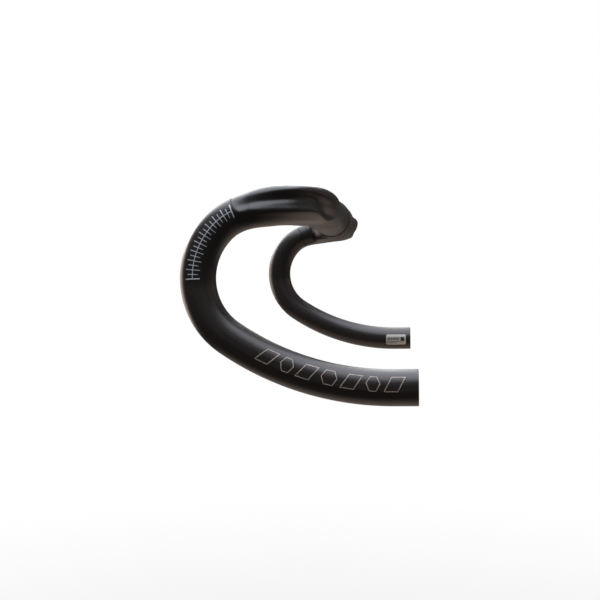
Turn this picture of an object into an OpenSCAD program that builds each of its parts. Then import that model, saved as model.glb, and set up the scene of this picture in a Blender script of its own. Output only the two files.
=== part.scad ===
// Drop handlebar with wing-shaped tops, bonded from three hollow carbon mouldings.
// Origin at the centre of the stem clamp. +X is the rider's right, +Y forward, +Z up.

/* [Size] */
// width between the tube centres at the brake lever hoods
hood_width = 420; // [380:10:460]
// how far the hook's centre line reaches ahead of the stem clamp
reach = 75; // [70:1:85]
// diameter of the round drop tube
drop_d = 23.8; // [22.2:0.1:25.4]
// wall of the moulded carbon tube
wall = 1.8; // [1.4:0.1:2.2]
// angle that each drop leans outwards from the hoods to its end
flare = 4; // [0:0.5:12]

/* [Stem clamp] */
// diameter that the stem clamps
clamp_d = 31.8; // [31.8:0.1:35]
// length of the raised, gritty clamp band
clamp_w = 60; // [44:1:70]
// height of the clamp band above the moulding under it
clamp_step = 0.9; // [0.5:0.1:1.4]
// bevel at each end of the clamp band
clamp_bevel = 0.8; // [0.3:0.1:1.2]

/* [Wing tops] */
// fore-and-aft half width of the wing section
wing_chord = 16.8; // [15.5:0.1:20]
// half thickness of the wing section on the tops
wing_thick = 10.3; // [9:0.1:12]
// half thickness where the wing turns into the ramp
corner_thick = 13.4; // [11.5:0.1:14]
// how far the wing's middle lies ahead of the clamp axis
wing_fwd = 2.6; // [0:0.1:4]
// how far the wing's middle lies above the clamp axis
wing_up = 0.5; // [0:0.1:2]
// squareness of the wing section, where 2 is an ellipse
wing_square = 2.6; // [2:0.05:2.8]
// lean of the wing's rear face, which carries the upper edge further back
wing_lean = 0.2; // [0:0.05:0.35]
// length of the corner bend across the bar
corner_x = 60; // [50:1:70]
// length along the ride direction of the ramp between the corner bend and the seam
ramp_run = 6.8; // [4:0.2:12]
// length of the tapering stretch from the round clamp to the wing
clamp_blend = 44; // [36:1:60]

/* [Cable groove] */
// depth of the groove round the outside of each corner
groove_depth = 3.6; // [1:0.1:4]
// height of the rounded lip under the groove
lip_height = 1.3; // [0.4:0.1:1.6]
// distance from the bar's centre where the groove fades in
groove_start = 130; // [100:1:140]

/* [Ramp and drop] */
// height of the seam's centre below the clamp axis
seam_drop = 6.7; // [5:0.1:8]
// downward slope of the tube at the seam, in degrees
seam_slope = 21; // [17:0.5:24]
// radius of the first bend below the seam
bend_a_r = 34.2; // [31:0.1:40]
// angle of the first bend
bend_a = 24.1; // [22:0.1:30]
// radius of the hook
hook_r = 47.7; // [42:0.1:54]
// angle of the hook
hook_a = 101.4; // [95:0.2:106]
// radius of the long lower bend
grip_r = 188.8; // [150:1:240]
// angle of the long lower bend
grip_a = 34.5; // [28:0.5:38]
// straight stretch at the open end, which a bar end plug sits in
end_l = 16; // [12:1:24]

/* [Joint] */
// width of the visible bond line between the top and a drop
seam_w = 0.4; // [0.2:0.1:0.8]
// thickness of the glue round the joint sleeve
glue_t = 0.1; // [0.05:0.05:0.2]
// wall of the joint sleeve
sleeve_wall = 1.4; // [1:0.1:2]
// depth of the joint sleeve in the ramp
sleeve_in_top = 10; // [8:0.5:12]
// angle that the joint sleeve covers of the first bend
sleeve_bend = 20; // [12:1:20]

/* [Printed marks] */
// thickness of the transfers and the ink
ink_t = 0.08; // [0.05:0.01:0.12]
// distance between the marks of the lever scale
tick_pitch = 2.9; // [2.5:0.1:3.1]
// length of a long mark of the lever scale
tick_long = 9.7; // [8:0.1:12]
// length of a short mark of the lever scale
tick_short = 7; // [5:0.1:8]
// width of a stroke
stroke = 0.6; // [0.4:0.1:0.9]
// angle between the marks of the clamp scale
clamp_pitch = 10; // [5:1:12]
// length of the identification label
label_l = 21.5; // [18:0.5:26]
// width of the identification label
label_w = 11.4; // [10:0.2:16]
// length of the drop graphic along the lower bend
graphic_l = 96; // [60:1:98]
// width of the drop graphic round the tube
graphic_w = 11; // [8:1:16]

/* [Hidden] */
$fn = 96;

tube_r = drop_d / 2;
bore_r = tube_r - wall;
half_w = hood_width / 2;
core_r = clamp_d / 2 - clamp_step;

// The drop's centre line lies in a plane with its own forward and up axes. A heading is the
// angle of the centre line above the forward axis, and every bend turns the heading downwards.
head_0 = -seam_slope;
head_1 = head_0 - bend_a;
head_2 = head_1 - hook_a;
head_3 = head_2 - grip_a;
function bend_centre(p, r, h) = p + r * [sin(h), -cos(h)];
function bend_end(p, r, h, a) = bend_centre(p, r, h) + r * [-sin(h - a), cos(h - a)];
// The seam lies behind the hook's foremost point by what the two bends use up.
seam_y = reach - hook_r + (bend_a_r - hook_r) * sin(head_1) - bend_a_r * sin(head_0);
seam_p = [seam_y, -seam_drop];
a_end = bend_end(seam_p, bend_a_r, head_0, bend_a);
hook_end = bend_end(a_end, hook_r, head_1, hook_a);
grip_end = bend_end(hook_end, grip_r, head_2, grip_a);
hood_z = bend_centre(a_end, hook_r, head_1)[1];
// The drop's plane leans about a fore-and-aft line through the hook's foremost point.
seam_x = half_w - (seam_p[1] - hood_z) * sin(flare);
seam_z = hood_z + (seam_p[1] - hood_z) * cos(flare);

// ---- drop tube ----

// Moves a right-hand drop from its own plane to its place on the bar.
module in_drop_plane() {
    translate([half_w, 0, hood_z])
        rotate([0, -flare, 0])
            translate([0, 0, -hood_z])
                children();
}

module on_left() {
    mirror([1, 0, 0])
        children();
}

// Sweeps a flat outline along a bend. The outline's x points away from the bend's centre and
// its y to the rider's right.
module sweep_bend(p, r, h, skip, a) {
    c = bend_centre(p, r, h);
    translate([0, c[0], c[1]])
        rotate(120, [1, 1, 1])
            rotate([0, 0, h + 90 - skip - a])
                rotate_extrude(angle = a, $fn = 180)
                    translate([r, 0])
                        children();
}

// Sweeps a flat outline along a straight stretch that starts at p with heading h.
module sweep_straight(p, h, l) {
    translate([0, p[0], p[1]])
        rotate(120, [1, 1, 1])
            rotate([0, 0, h])
                rotate(120, [1, 1, 1])
                    linear_extrude(l)
                        children();
}

module ring(r_out, r_in) {
    difference() {
        circle(r_out);
        circle(r_in);
    }
}

// A thin patch on the tube's skin, centred on the angle mid and half as wide as half.
// The angle is 0 on the outside of the bend and 90 on the outboard side.
module skin_patch(mid, half, t = ink_t) {
    far = 2 * tube_r;
    intersection() {
        ring(tube_r + t, tube_r);
        polygon([[0, 0], far * [cos(mid - half), sin(mid - half)],
            far * [cos(mid), sin(mid)], far * [cos(mid + half), sin(mid + half)]]);
    }
}

// Every other stretch is thinner by the value step and runs on into its neighbours by run_on
// millimetres, so that the stretches join as one solid.
step = 0.08;
run_on = 0.4;
function arc_deg(l, r) = l / r * 180 / PI;

module drop() {
    hook_run = arc_deg(run_on, hook_r);
    end_dir = [cos(head_3), sin(head_3)];
    in_drop_plane() {
        sweep_bend(seam_p, bend_a_r, head_0, 0, bend_a)
            ring(tube_r, bore_r);
        sweep_bend(a_end, hook_r, head_1, -hook_run, hook_a + 2 * hook_run)
            ring(tube_r - step, bore_r + step);
        sweep_bend(hook_end, grip_r, head_2, 0, grip_a)
            ring(tube_r, bore_r);
        sweep_straight(grip_end - run_on * end_dir, head_3, end_l + run_on)
            ring(tube_r - step, bore_r + step);
    }
}

module left_drop() {
    color("#2b2827")
        on_left()
            drop();
}

module right_drop() {
    color("#2b2827")
        drop();
}

// ---- wing top ----

function smooth(a, b, t) = let (q = min(max((t - a) / (b - a), 0), 1)) q * q * (3 - 2 * q);

// The ramp ends in a short round stretch before the seam.
round_l = 4;
ramp_p = seam_p - round_l * [cos(head_0), sin(head_0)];
ramp_end_x = half_w - (ramp_p[1] - hood_z) * sin(flare);
ramp_end_z = hood_z + (ramp_p[1] - hood_z) * cos(flare);
corner_start = ramp_end_x - corner_x;
loft_in = 1;
loft_step = 0.4;
corner_y = ramp_p[0] - wing_fwd - ramp_run;
// The groove fades in over groove_run_in millimetres of the tops, with its middle at groove_tops
// degrees. It turns up by groove_turn where the ramp begins and climbs by groove_climb to the
// seam, getting shallower over groove_fade millimetres. It is groove_wide degrees wide below and
// above its middle, and the lip lies lip_below degrees under it.
groove_run_in = 50;
groove_tops = -22;
groove_turn = 33;
groove_climb = 14;
groove_wide = [14, 21];
groove_fade = 26;
lip_below = 26;
lip_wide = 13;

// A section of the right half at place t: 0 to 1 runs along the tops from the clamp, 1 to 2
// round the corner, 2 to 3 up the ramp. The skin is moved in by the value inset.
function top_section_points(t, inset, sides) =
    let (
        u = min(max(t, 0), 1),
        f = 90 * min(max(t - 1, 0), 1),
        r = min(max(t - 2, 0), 1),
        x_clamp = clamp_w / 2 - loft_in,
        x_tops = x_clamp + u * (corner_start - x_clamp),
        x = x_tops + corner_x * sin(f),
        run = wing_fwd + corner_y * (1 - cos(f)) + r * (ramp_p[0] - wing_fwd - corner_y),
        round_clamp = 1 - smooth(clamp_w / 2 + 1, clamp_w / 2 + 1 + clamp_blend, x),
        y = run - wing_fwd * round_clamp,
        across = [corner_x * cos(f), corner_y * sin(f)],
        dir = across / norm(across),
        q = (run - wing_fwd) / (ramp_p[0] - wing_fwd),
        fall = ramp_end_z - wing_up,
        dip = (ramp_p[0] - wing_fwd) * tan(seam_slope),
        z = wing_up * (1 - round_clamp) + fall * (3 * q * q - 2 * q * q * q)
            - dip * (q * q * q - q * q),
        rise = (fall * (6 * q - 6 * q * q) - dip * (3 * q * q - 2 * q))
            / (ramp_p[0] - wing_fwd) * dir[1],
        pitch = -atan(rise),
        to_round = smooth(0.35, 0.9, q),
        to_corner = smooth(corner_start - 20, corner_start + 30, x),
        to_tube = smooth(0.5, 1, q),
        tube = tube_r - loft_step,
        core = core_r - loft_step,
        thick = (wing_thick * (1 - to_corner) + corner_thick * to_corner) * (1 - to_tube)
            + tube * to_tube,
        half_e = (wing_chord * (1 - to_round) + tube * to_round) * (1 - round_clamp)
            + core * round_clamp - inset,
        half_v = thick * (1 - round_clamp) + core * round_clamp - inset,
        power = 2 / ((wing_square * (1 - to_round) + 2 * to_round) * (1 - round_clamp)
            + 2 * round_clamp),
        lean = wing_lean * (1 - to_round) * (1 - round_clamp),
        room = ramp_p[0] - y,
        there = smooth(groove_start, groove_start + groove_run_in, x),
        groove = groove_depth * there
            * (0.25 * smooth(0, 4, room) + 0.75 * smooth(4, 4 + groove_fade, room)),
        lip = inset > 0 ? 0 : lip_height * there * smooth(0, 3, room),
        middle = groove_tops + groove_turn * smooth(0, 0.24, q) + groove_climb * q * q * q
    )
    [for (i = [0:sides - 1])
        let (
            a = 360 * i / sides,
            off = (a > 180 ? a - 360 : a) - middle,
            hollow = groove * exp(-pow(off / groove_wide[off > 0 ? 1 : 0], 2))
                - lip * exp(-pow((off + lip_below) / lip_wide, 2)),
            v = half_v * sign(sin(a)) * pow(abs(sin(a)), power),
            e = half_e * sign(cos(a)) * pow(abs(cos(a)), power) - hollow + lean * v,
            pz = z + v * cos(pitch)
        )
        [
            x + e * dir[1] + v * sin(pitch) * dir[0] - tan(flare) * to_round * (pz - ramp_end_z),
            y - e * dir[0] + v * sin(pitch) * dir[1],
            pz
        ]
    ];

// Skins the rings of points into one closed solid.
module loft(rings) {
    n = len(rings[0]);
    m = len(rings);
    sides = [for (i = [0:m - 2], j = [0:n - 1])
        [i * n + j, i * n + (j + 1) % n, (i + 1) * n + (j + 1) % n, (i + 1) * n + j]];
    first = [[for (j = [n - 1:-1:0]) j]];
    last = [[for (j = [0:n - 1]) (m - 1) * n + j]];
    polyhedron([for (r = rings) each r], concat(sides, first, last), convexity = 6);
}

module wing_half(inset, steps, sides) {
    loft([for (k = [0:3 * steps]) top_section_points(k / steps, inset, sides)]);
}

// A round stretch in the drop's plane that ends ahead of the seam by the value ahead.
module ramp_round(back, ahead, r) {
    dir = [cos(head_0), sin(head_0)];
    in_drop_plane()
        sweep_straight(seam_p - back * dir, head_0, back + ahead)
            circle(r);
}

module both_sides() {
    children();
    on_left()
        children();
}

core_wall = wall + 0.8;

module top_section() {
    color("#332f2e")
        difference() {
            union() {
                rotate([0, 90, 0])
                    cylinder(r = core_r, h = clamp_w + 1, center = true);
                both_sides() {
                    wing_half(0, 12, 40);
                    ramp_round(round_l + loft_in, -seam_w, tube_r);
                }
            }
            rotate([0, 90, 0])
                cylinder(r = core_r - core_wall, h = clamp_w + 1, center = true);
            both_sides() {
                wing_half(core_wall, 8, 24);
                ramp_round(sleeve_in_top, 1, bore_r);
            }
        }
}

// ---- bonded joint at each seam ----

module joint_tube(r_out, r_in, thin) {
    dir = [cos(head_0), sin(head_0)];
    run = arc_deg(run_on, bend_a_r);
    in_drop_plane() {
        sweep_straight(seam_p - sleeve_in_top * dir, head_0, sleeve_in_top)
            ring(r_out, r_in);
        sweep_bend(seam_p, bend_a_r, head_0, -run, sleeve_bend + run)
            ring(r_out - thin, r_in + thin);
    }
}

module joint_sleeve() {
    joint_tube(bore_r - glue_t, bore_r - glue_t - sleeve_wall, 0.02);
}

// The glue fills the gap round the sleeve and shows as a thin line at the seam.
module joint_bond() {
    joint_tube(bore_r, bore_r - glue_t, 0.02);
    dir = [cos(head_0), sin(head_0)];
    in_drop_plane()
        sweep_straight(seam_p - seam_w * dir, head_0, seam_w)
            ring(tube_r - 0.02, bore_r - glue_t / 2);
}

module right_joint_sleeve() {
    color("#4a4745")
        joint_sleeve();
}

module left_joint_sleeve() {
    color("#4a4745")
        on_left()
            joint_sleeve();
}

module right_joint_bond() {
    color("#171514")
        joint_bond();
}

module left_joint_bond() {
    color("#171514")
        on_left()
            joint_bond();
}

// ---- clamp band ----

module clamp_band() {
    color("#3a3534")
        rotate([0, 90, 0])
            rotate_extrude()
                polygon([
                    [core_r, -clamp_w / 2], [clamp_d / 2 - clamp_bevel, -clamp_w / 2],
                    [clamp_d / 2, -clamp_w / 2 + clamp_bevel],
                    [clamp_d / 2, clamp_w / 2 - clamp_bevel],
                    [clamp_d / 2 - clamp_bevel, clamp_w / 2], [core_r, clamp_w / 2]
                ]);
}

clamp_marks = 5;
clamp_mark_l = 3;

// Angle marks on the rear of the clamp band, centred on the level of the clamp axis.
module clamp_angle_scale() {
    half = arc_deg(stroke / 2, clamp_d / 2);
    color("#c8ccd2")
        for (i = [0:clamp_marks - 1])
            rotate([180 + (i - (clamp_marks - 1) / 2) * clamp_pitch - half, 0, 0])
                rotate([90, 0, 90])
                    rotate_extrude(angle = 2 * half, $fn = 180)
                        translate([clamp_d / 2, -clamp_mark_l / 2])
                            square([ink_t, clamp_mark_l]);
}

// ---- printed marks on the drops ----

tick_count = 19;
tick_mid = 84;
first_tick = 1.4;
ink_gap = 0.12;
bend_a_l = bend_a_r * bend_a * PI / 180;

// Sweeps a skin outline over a short stretch l of the drop, from s along its centre line.
module along_drop(s, l) {
    if (s < bend_a_l)
        sweep_bend(seam_p, bend_a_r, head_0, arc_deg(s, bend_a_r), arc_deg(l, bend_a_r))
            children();
    else
        sweep_bend(a_end, hook_r, head_1, arc_deg(s - bend_a_l, hook_r), arc_deg(l, hook_r))
            children();
}

module lever_scale() {
    line = arc_deg(stroke / 2, tube_r);
    in_drop_plane()
        for (i = [0:tick_count - 1]) {
            long = i % 2 == 0;
            end_mark = i == 0 || i == tick_count - 1;
            w = end_mark ? 1.5 * stroke : stroke;
            at = first_tick + i * tick_pitch;
            along_drop(at - w / 2, w)
                skin_patch(tick_mid, arc_deg((long ? tick_long : tick_short) / 2, tube_r));
            if (i < tick_count - 1)
                along_drop(at + w / 2 + ink_gap, tick_pitch - 1.25 * stroke - 2 * ink_gap)
                    skin_patch(tick_mid, line);
        }
}

module right_lever_scale() {
    color("#c8ccd2")
        lever_scale();
}

module left_lever_scale() {
    color("#c8ccd2")
        on_left()
            lever_scale();
}

grip_l = grip_r * grip_a * PI / 180;
graphic_from_end = 9.7;
graphic_mid = 104;
label_from_end = 5;
film_t = 0.12;

// A film on the tube's skin that runs back from the open end's straight stretch into the lower
// bend. The part in the bend is thinner and lies under the other where they meet.
module film(from_end, l, mid, w) {
    half = arc_deg(w / 2, tube_r);
    in_straight = end_l - from_end;
    in_bend = l - in_straight;
    run = arc_deg(run_on, grip_r);
    in_drop_plane() {
        sweep_straight(grip_end, head_3, in_straight)
            skin_patch(mid, half, film_t);
        sweep_bend(hook_end, grip_r, head_2, arc_deg(grip_l - in_bend, grip_r),
            arc_deg(in_bend, grip_r) + run)
            difference() {
                skin_patch(mid, half - 0.2, film_t - 0.02);
                circle(tube_r + 0.02);
            }
    }
}

// The graphic is one clear transfer on the outboard side of the lower bend.
module drop_graphic() {
    film(graphic_from_end, graphic_l, graphic_mid, graphic_w);
}

module right_drop_graphic() {
    color("#6d6560")
        drop_graphic();
}

module left_drop_graphic() {
    color("#6d6560")
        on_left()
            drop_graphic();
}

// The label is wrapped on the inboard side of the right drop, near its open end.
module identification_label() {
    color("#b9b4ac")
        film(label_from_end, label_l, 270, label_w);
}

top_section();
left_drop();
right_drop();
left_joint_sleeve();
right_joint_sleeve();
left_joint_bond();
right_joint_bond();
clamp_band();
clamp_angle_scale();
left_lever_scale();
right_lever_scale();
left_drop_graphic();
right_drop_graphic();
identification_label();
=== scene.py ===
"""Visual model of a bare carbon drop handlebar with wing-shaped tops.

Lengths are in millimetres in the design and become metres where a mesh is made.
+X is the rider's right, +Y forward and +Z up, with the origin at the centre of the stem clamp.
"""
import math

import bmesh
import bpy
import numpy as np
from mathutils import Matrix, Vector


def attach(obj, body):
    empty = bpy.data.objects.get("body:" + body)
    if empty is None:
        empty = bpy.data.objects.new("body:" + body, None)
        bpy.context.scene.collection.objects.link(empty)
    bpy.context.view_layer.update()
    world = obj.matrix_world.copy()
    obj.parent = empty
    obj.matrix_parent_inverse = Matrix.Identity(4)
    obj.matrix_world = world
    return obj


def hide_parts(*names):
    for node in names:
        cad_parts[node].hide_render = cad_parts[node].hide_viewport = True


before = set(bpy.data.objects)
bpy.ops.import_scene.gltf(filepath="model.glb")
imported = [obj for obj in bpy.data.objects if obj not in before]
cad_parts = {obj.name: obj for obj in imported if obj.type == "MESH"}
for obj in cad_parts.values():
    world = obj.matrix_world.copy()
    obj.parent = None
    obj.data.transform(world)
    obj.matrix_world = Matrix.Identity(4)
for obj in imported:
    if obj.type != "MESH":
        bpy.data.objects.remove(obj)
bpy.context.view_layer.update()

MM = 0.001
TAU = 2 * math.pi

# ---------------------------------------------------------------- design sizes, in mm

TUBE_R = 11.9
WALL = 1.8
BORE_R = TUBE_R - WALL
HALF_W = 210.0  # from the middle to the tube's centre at the lever hoods
FLARE = math.radians(4.0)
CUT_EDGE = 0.35  # rounding of the cut edges of each drop

CLAMP_R = 15.9
CLAMP_W = 60.0
CLAMP_STEP = 0.9
CLAMP_BEVEL = 0.8
CORE_R = CLAMP_R - CLAMP_STEP

SEAM = np.array([49.119, -6.7])  # forward and up, in the drop's own plane
SEAM_SLOPE = math.radians(21.0)
SEAM_W = 0.4
# Radius and angle of each bend of the drop, from the seam down, and the straight end.
BENDS = [(34.2, math.radians(24.1)), (47.7, math.radians(101.4)), (188.8, math.radians(34.5))]
END_L = 16.0

# The wing section: its half width and half thickness, its place ahead of and above the clamp
# axis, its squareness and lean, the corner bend's size, the blend from the round clamp and the
# moulding's wall.
WING = dict(
    chord=16.8, thick=10.3, corner_thick=13.4, fwd=2.6, up=0.5, square=2.6, lean=0.2,
    corner_x=60.0, corner_y=36.0, blend=44.0, wall=2.2,
)
# The cable groove: its depth, where it fades in from the middle of the bar, and how it gets
# shallower towards the seam. Its middle is at the angle tops on the tops, turns up by the angle
# turn where the ramp begins and climbs further to the seam. It is above and below degrees wide.
GROOVE = dict(
    depth=3.6, start=130.0, run_in=50.0, seam_share=0.25, seam_fade=4.0, fade=26.0,
    tops=-22.0, turn=33.0, turned_at=0.24, climb=14.0, above=21.0, below=14.0,
)
# The lip under the groove: how far it stands out, how far below the groove's middle, how wide.
LIP = dict(height=1.3, fade=3.0, below=26.0, wide=13.0)

INK_T = 0.05


# ---------------------------------------------------------------- colours and nodes

def srgb(code):
    """Linear colour of a hex sRGB value: the sRGB curve undone, channel by channel."""
    channels = [int(code[i:i + 2], 16) / 255 for i in (1, 3, 5)]
    return [c / 12.92 if c <= 0.04045 else ((c + 0.055) / 1.055) ** 2.4 for c in channels] + [1.0]


def add(tree, kind, settings=None, **inputs):
    """Adds one node, sets its properties, and sets or links its inputs by name."""
    made = tree.nodes.new(kind)
    for key, value in (settings or {}).items():
        setattr(made, key, value)
    for key, value in inputs.items():
        name = key.replace("_", " ")
        socket = made.inputs[int(name[1:]) if name[1:].isdigit() else name]
        if isinstance(value, bpy.types.NodeSocket):
            tree.links.new(value, socket)
        else:
            socket.default_value = value
    return made


def new_material(name):
    """An empty node material and its Principled shader, already wired to the output."""
    material = bpy.data.materials.new(name)
    material.use_nodes = True
    tree = material.node_tree
    tree.nodes.clear()
    shader = tree.nodes.new("ShaderNodeBsdfPrincipled")
    output = tree.nodes.new("ShaderNodeOutputMaterial")
    tree.links.new(shader.outputs["BSDF"], output.inputs["Surface"])
    return material, tree, shader


# ---------------------------------------------------------------- centre line of a drop

def drop_line(s):
    """Point and heading of the drop's centre line at the lengths s from the seam.

    Each bend turns the heading down at a steady rate, so a point on it is the bend's centre plus
    its radius at the turned angle. Past the last bend the line is straight.
    """
    s = np.asarray(s, float)
    point = np.zeros(s.shape + (2,))
    heading = np.full(s.shape, -SEAM_SLOPE)
    at, start, turned = SEAM, 0.0, -SEAM_SLOPE
    for radius, angle in BENDS:
        centre = at + radius * np.array([math.sin(turned), -math.cos(turned)])
        a = np.clip((s - start) / radius, 0 if start else -1, angle)
        here = centre + radius * np.stack([-np.sin(turned - a), np.cos(turned - a)], -1)
        inside = s >= start if start else np.ones(s.shape, bool)
        point = np.where(inside[..., None], here, point)
        heading = np.where(inside, turned - a, heading)
        start += radius * angle
        at = centre + radius * np.array([-math.sin(turned - angle), math.cos(turned - angle)])
        turned -= angle
    ahead = np.maximum(s - start, 0)[..., None]
    point = point + ahead * np.array([math.cos(turned), math.sin(turned)])
    return point, heading


BEND_L = [radius * angle for radius, angle in BENDS]
DROP_L = sum(BEND_L) + END_L
HOOK_START_Z = drop_line(np.array([BEND_L[0]]))[0][0, 1]
HOOK_CENTRE_Z = HOOK_START_Z - BENDS[1][0] * math.cos(SEAM_SLOPE + BENDS[0][1])


def on_drop(s, around, radius, side):
    """Points on the drop at length s, angle round the tube and radius.

    The angle is 0 on the outside of the bend and a quarter turn on the outboard side. The drop's
    plane leans outwards about the fore-and-aft line through the hook's centre.
    """
    point, heading = drop_line(s)
    out = np.stack([-np.sin(heading), np.cos(heading)], -1)
    flat = point + (radius * np.cos(around))[..., None] * out
    across = radius * np.sin(around)
    up = flat[..., 1] - HOOK_CENTRE_Z
    x = HALF_W + across * math.cos(FLARE) - up * math.sin(FLARE)
    z = HOOK_CENTRE_Z + up * math.cos(FLARE) + across * math.sin(FLARE)
    return np.stack([side * x, flat[..., 0], z], -1)


# ---------------------------------------------------------------- mesh making

def make_object(name, points, faces, uv, material):
    """One mesh object from points in mm, corner-indexed faces of one length, and a UV per corner."""
    mesh = bpy.data.meshes.new(name)
    points = np.asarray(points, np.float64).reshape(-1, 3) * MM
    faces = np.asarray(faces, np.int32)
    count, corners = faces.shape
    mesh.vertices.add(len(points))
    mesh.vertices.foreach_set("co", points.ravel())
    mesh.loops.add(count * corners)
    mesh.loops.foreach_set("vertex_index", faces.ravel())
    mesh.polygons.add(count)
    mesh.polygons.foreach_set("loop_start", np.arange(0, count * corners, corners, dtype=np.int32))
    mesh.update(calc_edges=True)
    layer = mesh.uv_layers.new(name="surface")
    layer.data.foreach_set("uv", np.asarray(uv, np.float32).reshape(-1, 2).ravel())
    mesh.polygons.foreach_set("use_smooth", np.ones(count, bool))
    mesh.validate()
    made = bpy.data.objects.new(name, mesh)
    bpy.context.collection.objects.link(made)
    made.data.materials.append(material)
    return made


def grid_faces(rows, cols, wrap_rows, wrap_cols, flip):
    """Quads of a grid of points, joined round where it wraps, with faces turned over on a mirror."""
    r = np.arange(rows if wrap_rows else rows - 1)[:, None]
    c = np.arange(cols if wrap_cols else cols - 1)[None, :]
    r1, c1 = (r + 1) % rows, (c + 1) % cols
    quad = np.stack([r * cols + c, r * cols + c1, r1 * cols + c1, r1 * cols + c], -1)
    if flip:
        quad = quad[..., ::-1]
    return quad.reshape(-1, 4)


def grid_uv(u, v, wrap_rows, wrap_cols, flip):
    """UV of every quad corner. u and v are in metres, one longer than the grid where it wraps."""
    u0, u1 = u[:-1], u[1:]
    v0, v1 = v[:-1], v[1:]
    one = np.ones((len(u0), len(v0)))
    corner = [(u0, v0), (u0, v1), (u1, v1), (u1, v0)]
    if flip:
        corner = corner[::-1]
    return np.stack([np.stack([one * a[:, None], one * b[None, :]], -1) for a, b in corner], 2)


def join(parts):
    """Stacks several (points, faces, uv) sets into one."""
    base, points, faces, uvs = 0, [], [], []
    for p, f, t in parts:
        p = np.asarray(p).reshape(-1, 3)
        points.append(p)
        faces.append(f + base)
        uvs.append(np.asarray(t).reshape(-1, 2))
        base += len(p)
    return np.concatenate(points), np.concatenate(faces), np.concatenate(uvs)


def closed_tube(points, u, v, side):
    """A grid that wraps both ways, such as an outer skin that turns in to an inner wall."""
    rows, cols, _ = points.shape
    flip = side < 0
    return points, grid_faces(rows, cols, True, True, flip), grid_uv(u, v, True, True, flip)


def rounded_wall(start, end, outer, inner, lip, rows_out, rows_in):
    """Lengths and radii of a wall's loop: out along the outside, round the lip, back inside.

    Both lips are half circles squared off to the value lip, so that each edge catches light.
    """
    a = np.linspace(0, math.pi / 2, 5)[1:]
    out = np.linspace(start + lip, end - lip, rows_out)
    s = [out, end - lip + lip * np.sin(a), end - lip + lip * np.cos(a[:-1])]
    r = [np.full(rows_out, outer), outer - lip * (1 - np.cos(a)), inner + lip * (1 - np.sin(a[:-1]))]
    back = np.linspace(end - lip, start + lip, rows_in)
    s += [back, start + lip - lip * np.sin(a), start + lip - lip * np.cos(a[:-1])]
    r += [np.full(rows_in, inner), inner + lip * (1 - np.cos(a)), outer - lip * (1 - np.sin(a[:-1]))]
    return np.concatenate(s), np.concatenate(r)


# ---------------------------------------------------------------- the wing-shaped tops

def smooth(a, b, t):
    """0 below a, 1 above b, and a smooth step between them."""
    q = np.clip((t - a) / (b - a), 0, 1)
    return q * q * (3 - 2 * q)


WING_MEAN_R = 13.0  # of a circle as long round as the wing section, for the pattern's scale
RAMP_END_X = HALF_W - (SEAM[1] - HOOK_CENTRE_Z) * math.sin(FLARE)
RAMP_END_Z = HOOK_CENTRE_Z + (SEAM[1] - HOOK_CENTRE_Z) * math.cos(FLARE)


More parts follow.
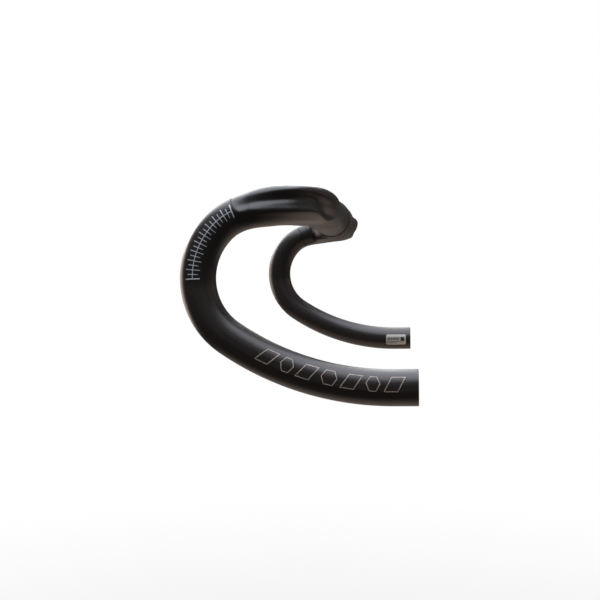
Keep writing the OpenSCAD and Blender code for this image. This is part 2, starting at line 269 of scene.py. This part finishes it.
def wing_skin(t, around, inset, side):
    """Points on one half of the top moulding, moved in by the value inset.

    t runs 0 to 1 along the tops, 1 to 2 round the elliptical corner and 2 to 3 up the ramp. Each
    section is a superellipse that is round at the clamp, a wing on the tops and round again at the
    seam. A bell-shaped hollow on its rear and outer side is the cable groove.
    """
    w, g, p = WING, GROOVE, LIP
    corner_start = RAMP_END_X - w["corner_x"]
    u = np.clip(t, 0, 1)
    f = np.clip(t - 1, 0, 1) * math.pi / 2
    r = np.clip(t - 2, 0, 1)
    x = u * corner_start + w["corner_x"] * np.sin(f)
    round_clamp = 1 - smooth(CLAMP_W / 2 + 1, CLAMP_W / 2 + 1 + w["blend"], x)
    run = w["fwd"] + w["corner_y"] * (1 - np.cos(f)) + r * (SEAM[0] - w["fwd"] - w["corner_y"])
    y = run - w["fwd"] * round_clamp
    across, along = w["corner_x"] * np.cos(f), w["corner_y"] * np.sin(f)
    size = np.hypot(across, along)
    dx, dy = across / size, along / size
    span = SEAM[0] - w["fwd"]
    q = (run - w["fwd"]) / span
    fall = RAMP_END_Z - w["up"]
    dip = span * math.tan(SEAM_SLOPE)
    z = w["up"] * (1 - round_clamp) + fall * (3 * q ** 2 - 2 * q ** 3) - dip * (q ** 3 - q ** 2)
    rise = (fall * (6 * q - 6 * q ** 2) - dip * (3 * q ** 2 - 2 * q)) / span * dy
    pitch = -np.arctan(rise)
    to_round = smooth(0.35, 0.9, q)
    to_corner = smooth(corner_start - 20, corner_start + 30, x)
    to_tube = smooth(0.5, 1, q)
    thick = w["thick"] * (1 - to_corner) + w["corner_thick"] * to_corner
    thick = thick * (1 - to_tube) + TUBE_R * to_tube
    half_e = w["chord"] * (1 - to_round) + TUBE_R * to_round
    half_e = half_e * (1 - round_clamp) + CORE_R * round_clamp - inset
    half_v = thick * (1 - round_clamp) + CORE_R * round_clamp - inset
    square = w["square"] * (1 - to_round) + 2 * to_round
    power = 2 / (square * (1 - round_clamp) + 2 * round_clamp)
    lean = w["lean"] * (1 - to_round) * (1 - round_clamp)
    seam_room = SEAM[0] - y
    there = smooth(g["start"], g["start"] + g["run_in"], x)
    at_seam = g["seam_share"] * smooth(0, g["seam_fade"], seam_room)
    further = (1 - g["seam_share"]) * smooth(g["seam_fade"], g["seam_fade"] + g["fade"], seam_room)
    groove = g["depth"] * there * (at_seam + further)
    lip = p["height"] * there * smooth(0, p["fade"], seam_room)
    cos_a, sin_a = np.cos(around), np.sin(around)
    middle = g["tops"] + g["turn"] * smooth(0, g["turned_at"], q) + g["climb"] * q ** 3
    off = np.degrees(np.arctan2(sin_a, cos_a)) - middle
    hollow = groove * np.exp(-(off / np.where(off > 0, g["above"], g["below"])) ** 2)
    hollow = hollow - lip * np.exp(-((off + p["below"]) / p["wide"]) ** 2)
    v = half_v * np.sign(sin_a) * np.abs(sin_a) ** power
    e = half_e * np.sign(cos_a) * np.abs(cos_a) ** power - hollow + lean * v
    pz = z + v * np.cos(pitch)
    px = x + e * dy + v * np.sin(pitch) * dx - math.tan(FLARE) * to_round * (pz - RAMP_END_Z)
    py = y - e * dx + v * np.sin(pitch) * dy
    return np.stack([side * px, py, pz], -1)


def whole_wing_rings(inset, steps, around):
    """Rings from the left seam through the clamp to the right seam."""
    t = np.concatenate([np.linspace(0, 1, steps[0], endpoint=False),
                        np.linspace(1, 2, steps[1], endpoint=False),
                        np.linspace(2, 3, steps[2])])[:, None]
    right = wing_skin(t, around[None, :], inset, 1)
    left = wing_skin(t[:0:-1], around[None, :], inset, -1)
    return np.concatenate([left, right])


def lengths(points):
    """Length in metres along the rings' centres, from the first ring on."""
    middle = points.mean(axis=1)
    step = np.linalg.norm(np.diff(middle, axis=0), axis=1)
    return np.concatenate([[0], np.cumsum(step)]) * MM


def build_top(material):
    """The top moulding: an outer skin and an inner wall, joined at each seam."""
    cols = 144
    around = np.arange(cols) * TAU / cols
    outer = whole_wing_rings(0.0, (70, 90, 24), around)
    inner = whole_wing_rings(WING["wall"], (24, 24, 6), around)[::-1]
    points = np.concatenate([outer, inner])
    u = np.concatenate([lengths(outer), lengths(inner)[::-1], [0]])
    v = np.linspace(0, TAU * WING_MEAN_R, cols + 1) * MM
    return make_object("top_moulding", *closed_tube(points, u, v, 1), material)


# ---------------------------------------------------------------- drops, clamp band and marks

def build_drop(name, side, material):
    """A drop: a round wall carried along the drop's centre line, with softened cut edges."""
    cols = 128
    around = np.arange(cols) * TAU / cols
    s, r = rounded_wall(SEAM_W / 4, DROP_L, TUBE_R, BORE_R, CUT_EDGE, 300, 120)
    points = on_drop(s[:, None] + 0 * around, 0 * s[:, None] + around, r[:, None] + 0 * around, side)
    u = np.concatenate([s, s[:1]]) * MM
    v = np.linspace(0, TAU * TUBE_R, cols + 1) * MM
    return make_object(name, *closed_tube(points, u, v, side), material)


def build_clamp_band(material):
    """The clamp band: a turned wall whose outer edges are bevels with rounded corners."""
    cols = 192
    around = np.arange(cols) * TAU / cols
    half, bevel, inner = CLAMP_W / 2, CLAMP_BEVEL, CORE_R - 0.4
    edge = np.array([[half, inner], [half, CLAMP_R - bevel], [half - 0.12, CLAMP_R - bevel + 0.2],
                     [half - bevel * 0.8, CLAMP_R - 0.12], [half - bevel - 0.2, CLAMP_R]])
    flat = np.stack([np.linspace(half - bevel - 0.3, 0, 30, endpoint=False), np.full(30, CLAMP_R)], -1)
    right = np.concatenate([edge, flat])
    profile = np.concatenate([right, [[0, CLAMP_R]], right[::-1] * [-1, 1]])
    x, r = profile[:, 0][:, None], profile[:, 1][:, None]
    points = np.stack([x + 0 * around, r * np.cos(around), r * np.sin(around)], -1)
    u = np.concatenate([[0], np.cumsum(np.linalg.norm(np.diff(profile, axis=0), axis=1))])
    u = np.concatenate([u, [0]]) * MM
    v = np.linspace(0, TAU * CLAMP_R, cols + 1) * MM
    return make_object("gritty_clamp_band", *closed_tube(points, u, v, -1), material)


def raised_strip(s, across, mid, height, side):
    """A thin raised strip on the drop, between two rails of the same length.

    s and across are (n, 2) arrays: the place of each rail's points along the drop and round it, in
    mm. The strip's top is rounded off at its rails, and its foot is just inside the tube's skin.
    """
    blend = np.array([0.0, 0.0, 0.12, 0.5, 0.88, 1.0, 1.0])
    lift = np.array([-0.06, 0.6 * height, height, height, height, 0.6 * height, -0.06])
    along = s[:, :1] * (1 - blend) + s[:, 1:] * blend
    round_it = across[:, :1] * (1 - blend) + across[:, 1:] * blend
    radius = TUBE_R + lift + 0 * along
    points = on_drop(along, mid + round_it / TUBE_R, radius, side)
    rows, cols, _ = points.shape
    u = np.linspace(0, 1, rows) * MM
    v = np.linspace(0, 1, cols + 1) * MM
    faces = grid_faces(rows, cols, False, True, False)
    uv = grid_uv(u, v, False, True, False)
    return points, faces, uv


def outward(made):
    """Turns the faces of one closed piece outwards, after its doubles are merged."""
    work = bmesh.new()
    work.from_mesh(made.data)
    bmesh.ops.remove_doubles(work, verts=work.verts, dist=1e-7)
    bmesh.ops.holes_fill(work, edges=work.edges, sides=0)
    bmesh.ops.recalc_face_normals(work, faces=work.faces)
    work.to_mesh(made.data)
    work.free()
    return made


def build_strips(name, strips, mid, side, material, height=INK_T):
    """One piece of many raised strips, each given by its two rails."""
    parts = [raised_strip(s, across, mid, height, side) for s, across in strips]
    points, faces, uv = join(parts)
    return outward(make_object(name, points, faces, uv, material))


def line_strip(a, b, width, steps=12):
    """Rails of a straight stroke from a to b, each a place along the drop and round it."""
    a, b = np.asarray(a, float), np.asarray(b, float)
    t = np.linspace(0, 1, steps)[:, None]
    middle = a * (1 - t) + b * t
    normal = np.array([-(b - a)[1], (b - a)[0]]) / np.linalg.norm(b - a) * width / 2
    left, right = middle + normal, middle - normal
    return np.stack([left[:, 0], right[:, 0]], -1), np.stack([left[:, 1], right[:, 1]], -1)


def outline_strip(corners, width, steps=14):
    """Rails of a closed outline: its edges moved in and out by half the width and cut at mitres."""
    p = np.asarray(corners, float)
    edge = np.roll(p, -1, 0) - p
    edge /= np.linalg.norm(edge, axis=1)[:, None]
    normal = np.stack([-edge[:, 1], edge[:, 0]], -1)
    before = np.roll(normal, 1, 0)
    mitre = (normal + before) / (1 + (normal * before).sum(1))[:, None]
    rails = []
    for sign in (0.5, -0.5):
        q = p + sign * width * mitre
        nxt = np.roll(q, -1, 0)
        t = np.linspace(0, 1, steps, endpoint=False)[None, :, None]
        line = (q[:, None] * (1 - t) + nxt[:, None] * t).reshape(-1, 2)
        rails.append(np.concatenate([line, line[:1]]))
    return (np.stack([rails[0][:, 0], rails[1][:, 0]], -1),
            np.stack([rails[0][:, 1], rails[1][:, 1]], -1))


# The lever scale: how many marks, their pitch and how far the first is from the seam, how long
# the long and short ones are, the stroke, and the wider stroke of the first and last.
TICKS, TICK_PITCH, FIRST_TICK = 19, 2.9, 1.4
TICK_LONG, TICK_SHORT, STROKE = 9.7, 7.0, 0.5
END_STROKE = 1.5 * STROKE
SCALE_MID = math.radians(84)  # round the tube from the outside of the bend


def build_lever_scale(name, side, material):
    """Nineteen marks 2.9 mm apart, long and short in turn, with one line through their middles."""
    strips = []
    for i in range(TICKS):
        at = FIRST_TICK + i * TICK_PITCH
        half = (TICK_LONG if i % 2 == 0 else TICK_SHORT) / 2
        width = END_STROKE if i in (0, TICKS - 1) else STROKE
        strips.append(line_strip((at, -half), (at, half), width))
    end = FIRST_TICK + (TICKS - 1) * TICK_PITCH
    strips.append(line_strip((FIRST_TICK, 0), (end, 0), STROKE, 90))
    return build_strips(name, strips, SCALE_MID, side, material)


# The row of outlined blocks: its start past the hook, its length and height, its stroke and
# the height of its ink.
GRAPHIC_START, GRAPHIC_L, GRAPHIC_H, GRAPHIC_LINE, GRAPHIC_T = 24.0, 96.0, 9.6, 0.5, 0.03
GRAPHIC_MID = math.radians(104)
BLOCK_WIDTHS = [11.0, 6.5, 11.0, 8.0, 11.0, 6.5, 11.0]
BLOCK_SLANT = 2.4


def build_drop_graphic(name, side, material):
    """A plain row of outlined blocks, slanted and hexagonal in turn, along the lower bend."""
    gap = (GRAPHIC_L - sum(BLOCK_WIDTHS)) / (len(BLOCK_WIDTHS) - 1)
    low, high, slant = -GRAPHIC_H / 2, GRAPHIC_H / 2, BLOCK_SLANT
    strips = []
    at = BEND_L[0] + BEND_L[1] + GRAPHIC_START
    for i, width in enumerate(BLOCK_WIDTHS):
        a, b = at + slant / 2, at + width - slant / 2
        if i % 2:
            shape = [(a, low), (b, low), (b + slant, 0), (b, high), (a, high), (a - slant, 0)]
        else:
            shape = [(a - slant, low), (b - slant, low), (b + slant, high), (a + slant, high)]
        strips.append(outline_strip(shape, GRAPHIC_LINE))
        at += width + gap
    return build_strips(name, strips, GRAPHIC_MID, side, material, GRAPHIC_T)


# The label: its length and width, how far it is from the bar's end, the foil's thickness and
# the radius of its corners.
LABEL_L, LABEL_W, LABEL_FROM_END, LABEL_T = 21.5, 11.4, 5.0, 0.12
LABEL_CORNER = 2.0


def build_label(material):
    """A rounded rectangle wrapped on the inboard side of the right drop.

    Its rings are nested outlines of the rectangle, with round corners, from the middle out, so
    that the foil's edge runs down to the tube all round.
    """
    count, corner = 120, LABEL_CORNER
    a = np.arange(count) * TAU / count
    half_l, half_w = LABEL_L / 2, LABEL_W / 2
    dx, dy = np.cos(a), np.sin(a)
    reach = np.minimum(half_l / np.maximum(np.abs(dx), 1e-9), half_w / np.maximum(np.abs(dy), 1e-9))
    px, py = dx * reach, dy * reach
    cx = np.clip(px, -(half_l - corner), half_l - corner)
    cy = np.clip(py, -(half_w - corner), half_w - corner)
    off = np.stack([px - cx, py - cy], -1)
    off *= corner / np.maximum(np.linalg.norm(off, axis=1), corner)[:, None]
    edge = np.stack([cx, cy], -1) + off
    flat_rings = 26
    scale = np.concatenate([np.linspace(0.02, 0.98, flat_rings), [0.992, 1.0, 1.0]])
    lift = np.concatenate([np.full(flat_rings, LABEL_T), [LABEL_T * 0.85, LABEL_T * 0.3, -0.06]])
    s = DROP_L - LABEL_FROM_END - half_l + scale[:, None] * edge[:, 0]
    round_it = scale[:, None] * edge[:, 1]
    radius = TUBE_R + lift[:, None] + 0 * s
    points = on_drop(s, -math.pi / 2 + round_it / TUBE_R, radius, 1)
    faces = grid_faces(len(scale), count, False, True, True)
    flat = np.stack([scale[:, None] * edge[:, 0], round_it], -1) * MM
    uv = flat.reshape(-1, 2)[faces]
    return outward(make_object("identification_label_foil", points, faces, uv, material))


# ---------------------------------------------------------------- materials

def carbon_material(name, light, dark, rough, plain_tone_stretch=0.0):
    """Unidirectional carbon fibre under a satin clear coat, moulded and lightly flatted.

    The fibres lie along the tube, so tone and gloss vary in long thin streaks 0.3 mm wide, with
    wider clouds where the resin is thicker. Over the first stretch, plain_tone_stretch metres
    long, the colour is scaled down to 0.42. The drops get lighter colours than the tops: painted
    light for the light on the drops, which this stretch takes back to about the tops' tone.
    """
    material, tree, shader = new_material(name)
    uv = add(tree, "ShaderNodeUVMap", {"uv_map": "surface"})
    fibre_map = add(tree, "ShaderNodeMapping", Vector=uv.outputs["UV"], Scale=(25, 3300, 1))
    fibre = add(tree, "ShaderNodeTexNoise", {"noise_dimensions": "2D"},
                Vector=fibre_map.outputs["Vector"], Scale=1.0, Detail=3.0, Roughness=0.6)
    tow_map = add(tree, "ShaderNodeMapping", Vector=uv.outputs["UV"], Scale=(9, 420, 1))
    tow = add(tree, "ShaderNodeTexNoise", {"noise_dimensions": "2D"},
              Vector=tow_map.outputs["Vector"], Scale=1.0, Detail=2.0, Roughness=0.5)
    blend = add(tree, "ShaderNodeMath", {"operation": "MULTIPLY_ADD"},
                _0=fibre.outputs["Fac"], _1=0.5, _2=tow.outputs["Fac"])
    ramp = add(tree, "ShaderNodeValToRGB", Fac=blend.outputs["Value"])
    ramp.color_ramp.elements[0].position = 0.45
    ramp.color_ramp.elements[0].color = srgb(dark)
    ramp.color_ramp.elements[1].position = 1.0
    ramp.color_ramp.elements[1].color = srgb(light)
    split = add(tree, "ShaderNodeSeparateXYZ", Vector=uv.outputs["UV"])
    zone = add(tree, "ShaderNodeMapRange", {"interpolation_type": "SMOOTHSTEP"},
               Value=split.outputs["X"], From_Min=plain_tone_stretch - 0.002, From_Max=plain_tone_stretch + 0.004,
               To_Min=0.42, To_Max=1.0)
    tone = add(tree, "ShaderNodeVectorMath", {"operation": "SCALE"}, _0=ramp.outputs["Color"],
               Scale=zone.outputs["Result"])
    tree.links.new(tone.outputs["Vector"], shader.inputs["Base Color"])
    gloss = add(tree, "ShaderNodeMapRange", Value=blend.outputs["Value"], From_Min=0.4,
                From_Max=1.1, To_Min=rough - 0.05, To_Max=rough + 0.06)
    tree.links.new(gloss.outputs["Result"], shader.inputs["Roughness"])
    bump = add(tree, "ShaderNodeBump", Strength=0.12, Distance=0.00003,
               Height=fibre.outputs["Fac"])
    tree.links.new(bump.outputs["Normal"], shader.inputs["Normal"])
    shader.inputs["IOR"].default_value = 1.5
    return material


def grit_material():
    """Clamp coating: carbon sprayed with fine hard grit of about 0.35 mm, dull and sparkling."""
    material, tree, shader = new_material("gritty clamp coating")
    place = add(tree, "ShaderNodeTexCoord")
    grain = add(tree, "ShaderNodeTexVoronoi", {"feature": "F1"},
                Vector=place.outputs["Object"], Scale=2400.0)
    cloud = add(tree, "ShaderNodeTexNoise", Vector=place.outputs["Object"], Scale=900.0, Detail=4.0)
    ramp = add(tree, "ShaderNodeValToRGB", Fac=cloud.outputs["Fac"])
    ramp.color_ramp.elements[0].position = 0.35
    ramp.color_ramp.elements[0].color = srgb("#231f1e")
    ramp.color_ramp.elements[1].position = 0.7
    ramp.color_ramp.elements[1].color = srgb("#4a4340")
    tree.links.new(ramp.outputs["Color"], shader.inputs["Base Color"])
    shader.inputs["Roughness"].default_value = 0.62
    bump = add(tree, "ShaderNodeBump", Strength=0.8, Distance=0.0002,
               Height=grain.outputs["Distance"])
    tree.links.new(bump.outputs["Normal"], shader.inputs["Normal"])
    return material


def ink_material(name, colour, rough):
    """Printed ink under clear coat: even, slightly broken up at the scale of the print screen."""
    material, tree, shader = new_material(name)
    place = add(tree, "ShaderNodeTexCoord")
    noise = add(tree, "ShaderNodeTexNoise", Vector=place.outputs["Object"], Scale=1800.0, Detail=2.0)
    ramp = add(tree, "ShaderNodeValToRGB", Fac=noise.outputs["Fac"])
    low = [c * 0.8 for c in srgb(colour)[:3]] + [1.0]
    ramp.color_ramp.elements[0].position = 0.3
    ramp.color_ramp.elements[0].color = low
    ramp.color_ramp.elements[1].position = 0.6
    ramp.color_ramp.elements[1].color = srgb(colour)
    tree.links.new(ramp.outputs["Color"], shader.inputs["Base Color"])
    shader.inputs["Roughness"].default_value = rough
    return material


# Rows of print on the label: middle and half height, start and end, pitch of the blocks in the
# row and the inked share of each, in mm from the label's centre.
LABEL_PRINT = [
    (-1.2, 1.3, -9.0, 3.6, 1.7, 0.66),
    (-0.7, 2.1, 5.0, 9.0, 10.0, 1.0),
    (1.7, 0.5, -9.0, 3.6, 0.9, 0.6),
    (3.6, 0.5, -9.0, 0.5, 0.9, 0.6),
]


def label_material():
    """Satin foil label with plain print: a row of bold blocks, one square and two rows of dots."""
    material, tree, shader = new_material("printed foil label")
    uv = add(tree, "ShaderNodeUVMap", {"uv_map": "surface"})
    place = add(tree, "ShaderNodeSeparateXYZ", Vector=uv.outputs["UV"])
    inked = add(tree, "ShaderNodeValue").outputs["Value"]
    inked.default_value = 0.0
    for middle, half, start, end, pitch, share in LABEL_PRINT:
        row = add(tree, "ShaderNodeMath", {"operation": "COMPARE"},
                  _0=place.outputs["Y"], _1=middle * MM, _2=half * MM)
        stretch = add(tree, "ShaderNodeMath", {"operation": "COMPARE"}, _0=place.outputs["X"],
                      _1=(start + end) / 2 * MM, _2=(end - start) / 2 * MM)
        cell = add(tree, "ShaderNodeMath", {"operation": "MULTIPLY_ADD"},
                   _0=place.outputs["X"], _1=1 / (pitch * MM), _2=-start / pitch)
        part = add(tree, "ShaderNodeMath", {"operation": "FRACT"}, _0=cell.outputs["Value"])
        block = add(tree, "ShaderNodeMath", {"operation": "LESS_THAN"},
                    _0=part.outputs["Value"], _1=share)
        in_row = add(tree, "ShaderNodeMath", {"operation": "MULTIPLY"},
                     _0=row.outputs["Value"], _1=stretch.outputs["Value"])
        printed = add(tree, "ShaderNodeMath", {"operation": "MULTIPLY"},
                      _0=in_row.outputs["Value"], _1=block.outputs["Value"])
        both = add(tree, "ShaderNodeMath", {"operation": "MAXIMUM"},
                   _0=inked, _1=printed.outputs["Value"])
        inked = both.outputs["Value"]
    mix = add(tree, "ShaderNodeMix", {"data_type": "RGBA"}, Factor=inked)
    mix.inputs[6].default_value = srgb("#cdc9c1")
    mix.inputs[7].default_value = srgb("#38342f")
    tree.links.new(mix.outputs[2], shader.inputs["Base Color"])
    shader.inputs["Roughness"].default_value = 0.38
    shader.inputs["Metallic"].default_value = 0.2
    return material


def floor_material():
    """White paper floor that glows, with painted shade: pale grey under the bar, fading to white
    further out.
    """
    material = bpy.data.materials.new("glowing white paper floor, painted shade under the bar")
    material.use_nodes = True
    tree = material.node_tree
    tree.nodes.clear()
    place = add(tree, "ShaderNodeTexCoord")
    away = add(tree, "ShaderNodeVectorMath", {"operation": "LENGTH"}, _0=place.outputs["Object"])
    # Painted shade under the bar: the glow is 0.86 near the middle and full white from 1.7 m out.
    fade = add(tree, "ShaderNodeMapRange", {"interpolation_type": "SMOOTHSTEP"},
               Value=away.outputs["Value"], From_Min=0.5, From_Max=1.7, To_Min=0.86, To_Max=1.0)
    glow = add(tree, "ShaderNodeEmission", Color=srgb("#ffffff"), Strength=fade.outputs["Result"])
    output = tree.nodes.new("ShaderNodeOutputMaterial")
    tree.links.new(glow.outputs["Emission"], output.inputs["Surface"])
    return material


def glue_material():
    """Cured black epoxy: a smooth thin fillet in the joint, a little glossier than the carbon."""
    material, tree, shader = new_material("cured epoxy glue line")
    place = add(tree, "ShaderNodeTexCoord")
    noise = add(tree, "ShaderNodeTexNoise", Vector=place.outputs["Object"], Scale=700.0, Detail=2.0)
    ramp = add(tree, "ShaderNodeValToRGB", Fac=noise.outputs["Fac"])
    ramp.color_ramp.elements[0].color = srgb("#0c0a0a")
    ramp.color_ramp.elements[1].color = srgb("#1c1918")
    tree.links.new(ramp.outputs["Color"], shader.inputs["Base Color"])
    shader.inputs["Roughness"].default_value = 0.45
    return material


# ---------------------------------------------------------------- build

top_carbon = carbon_material("satin unidirectional carbon, tops", "#1a1615", "#0e0b0a", 0.38, -0.1)
# Painted light: the drops' colours are lighter than the tops' to stand for the light on the drops; the
# first 56.5 mm are scaled back to about the tops' tone.
drop_carbon_with_painted_light = carbon_material("satin unidirectional carbon, drops", "#2f2927", "#1d1817", 0.37, 0.0565)
grit = grit_material()
scale_ink = ink_material("cool grey scale ink", "#c3cad1", 0.45)
graphic_ink = ink_material("warm silver outline ink", "#c4b2a4", 0.42)
foil = label_material()
glue = glue_material()

top = build_top(top_carbon)
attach(top, "root")
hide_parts("top_section")

band = build_clamp_band(grit)
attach(band, "root")
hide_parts("clamp_band")

for side, word in ((-1, "left"), (1, "right")):
    drop = build_drop(f"{word}_drop_tube", side, drop_carbon_with_painted_light)
    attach(drop, "root")
    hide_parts(f"{word}_drop")
    scale = build_lever_scale(f"{word}_lever_scale_print", side, scale_ink)
    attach(scale, "root")
    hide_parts(f"{word}_lever_scale")
    graphic = build_drop_graphic(f"{word}_drop_outlines", side, graphic_ink)
    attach(graphic, "root")
    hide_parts(f"{word}_drop_graphic")

label = build_label(foil)
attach(label, "root")
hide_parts("identification_label")

carried = {
    "left_joint_bond": glue, "right_joint_bond": glue,
    "left_joint_sleeve": top_carbon, "right_joint_sleeve": top_carbon,
    "clamp_angle_scale": scale_ink,
}
for node_name, material in carried.items():
    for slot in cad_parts[node_name].material_slots:
        slot.material = material

# ---------------------------------------------------------------- floor, light and camera

FLOOR_Z = -0.62  # in metres, like its half width
FLOOR_HALF = 40.0
signs = [(-1, -1), (1, -1), (1, 1), (-1, 1)]
floor_corners = [(x * FLOOR_HALF, y * FLOOR_HALF, FLOOR_Z) for x, y in signs]
floor_mesh = bpy.data.meshes.new("studio_floor")
floor_mesh.from_pydata(floor_corners, [], [(0, 1, 2, 3)])
floor = bpy.data.objects.new("studio_floor", floor_mesh)
bpy.context.collection.objects.link(floor)
floor.data.materials.append(floor_material())
floor.visible_glossy = False
floor.visible_diffuse = False


def softbox(name, place, target, size, power, colour):
    """A large rectangular lamp at a place in metres, turned to a target and unseen by the camera."""
    lamp = bpy.data.lights.new(name, "AREA")
    lamp.shape = "RECTANGLE"
    lamp.size, lamp.size_y = size
    lamp.energy = power
    lamp.color = srgb(colour)[:3]
    made = bpy.data.objects.new(name, lamp)
    made.location = place
    made.rotation_euler = (Vector(target) - Vector(place)).to_track_quat("-Z", "Y").to_euler()
    made.visible_camera = False
    bpy.context.collection.objects.link(made)
    return made


softbox("overhead_softbox", (-0.05, 0.1, 0.85), (0, 0, 0), (1.6, 1.3), 30, "#eef3ff")
softbox("backdrop_glow", (1.35, 0.75, 0.85), (0, 0, 0), (1.8, 1.3), 46, "#ffffff")
softbox("floor_bounce", (0.25, -0.1, -0.6), (0, 0, 0), (1.3, 1.3), 3.6, "#f5dccb")
softbox("rear_reflector", (0.5, -1.7, 0.45), (0, 0, 0), (1.4, 1.0), 1.5, "#f3dfd2")
softbox("front_reflector", (0.9, 1.5, -0.1), (0, 0, 0), (1.2, 1.2), 14, "#f3dfd2")

world = bpy.data.worlds.new("white_studio")
bpy.context.scene.world = world
world.use_nodes = True
sky = world.node_tree
sky.nodes.clear()
ray = add(sky, "ShaderNodeLightPath")
seen = add(sky, "ShaderNodeBackground", Color=srgb("#ffffff"), Strength=1.0)
fill = add(sky, "ShaderNodeBackground", Color=srgb("#fff4ec"), Strength=0.10)
choice = add(sky, "ShaderNodeMixShader", Fac=ray.outputs["Is Camera Ray"])
sky.links.new(fill.outputs["Background"], choice.inputs[1])
sky.links.new(seen.outputs["Background"], choice.inputs[2])
world_out = sky.nodes.new("ShaderNodeOutputWorld")
sky.links.new(choice.outputs["Shader"], world_out.inputs["Surface"])

bpy.context.scene.view_settings.view_transform = "Standard"

# The camera's place, how far it looks to the left of +X and below the level, and its lens.
CAMERA_MM = (-810.03, -56.86, -42.8)
CAMERA_YAW = math.radians(6.099)
CAMERA_PITCH = math.radians(-1.914)
SENSOR_MM = 36.0
FOCAL_MM = 55.407

camera_data = bpy.data.cameras.new("camera")
camera_data.sensor_width = SENSOR_MM
camera_data.lens = FOCAL_MM
camera_data.clip_start, camera_data.clip_end = 0.01, 50
camera = bpy.data.objects.new("camera", camera_data)
bpy.context.collection.objects.link(camera)
camera.location = [c * MM for c in CAMERA_MM]
look = Vector((math.cos(CAMERA_YAW) * math.cos(CAMERA_PITCH),
               math.sin(CAMERA_YAW) * math.cos(CAMERA_PITCH), math.sin(CAMERA_PITCH)))
camera.rotation_euler = look.to_track_quat("-Z", "Y").to_euler()
bpy.context.scene.camera = camera
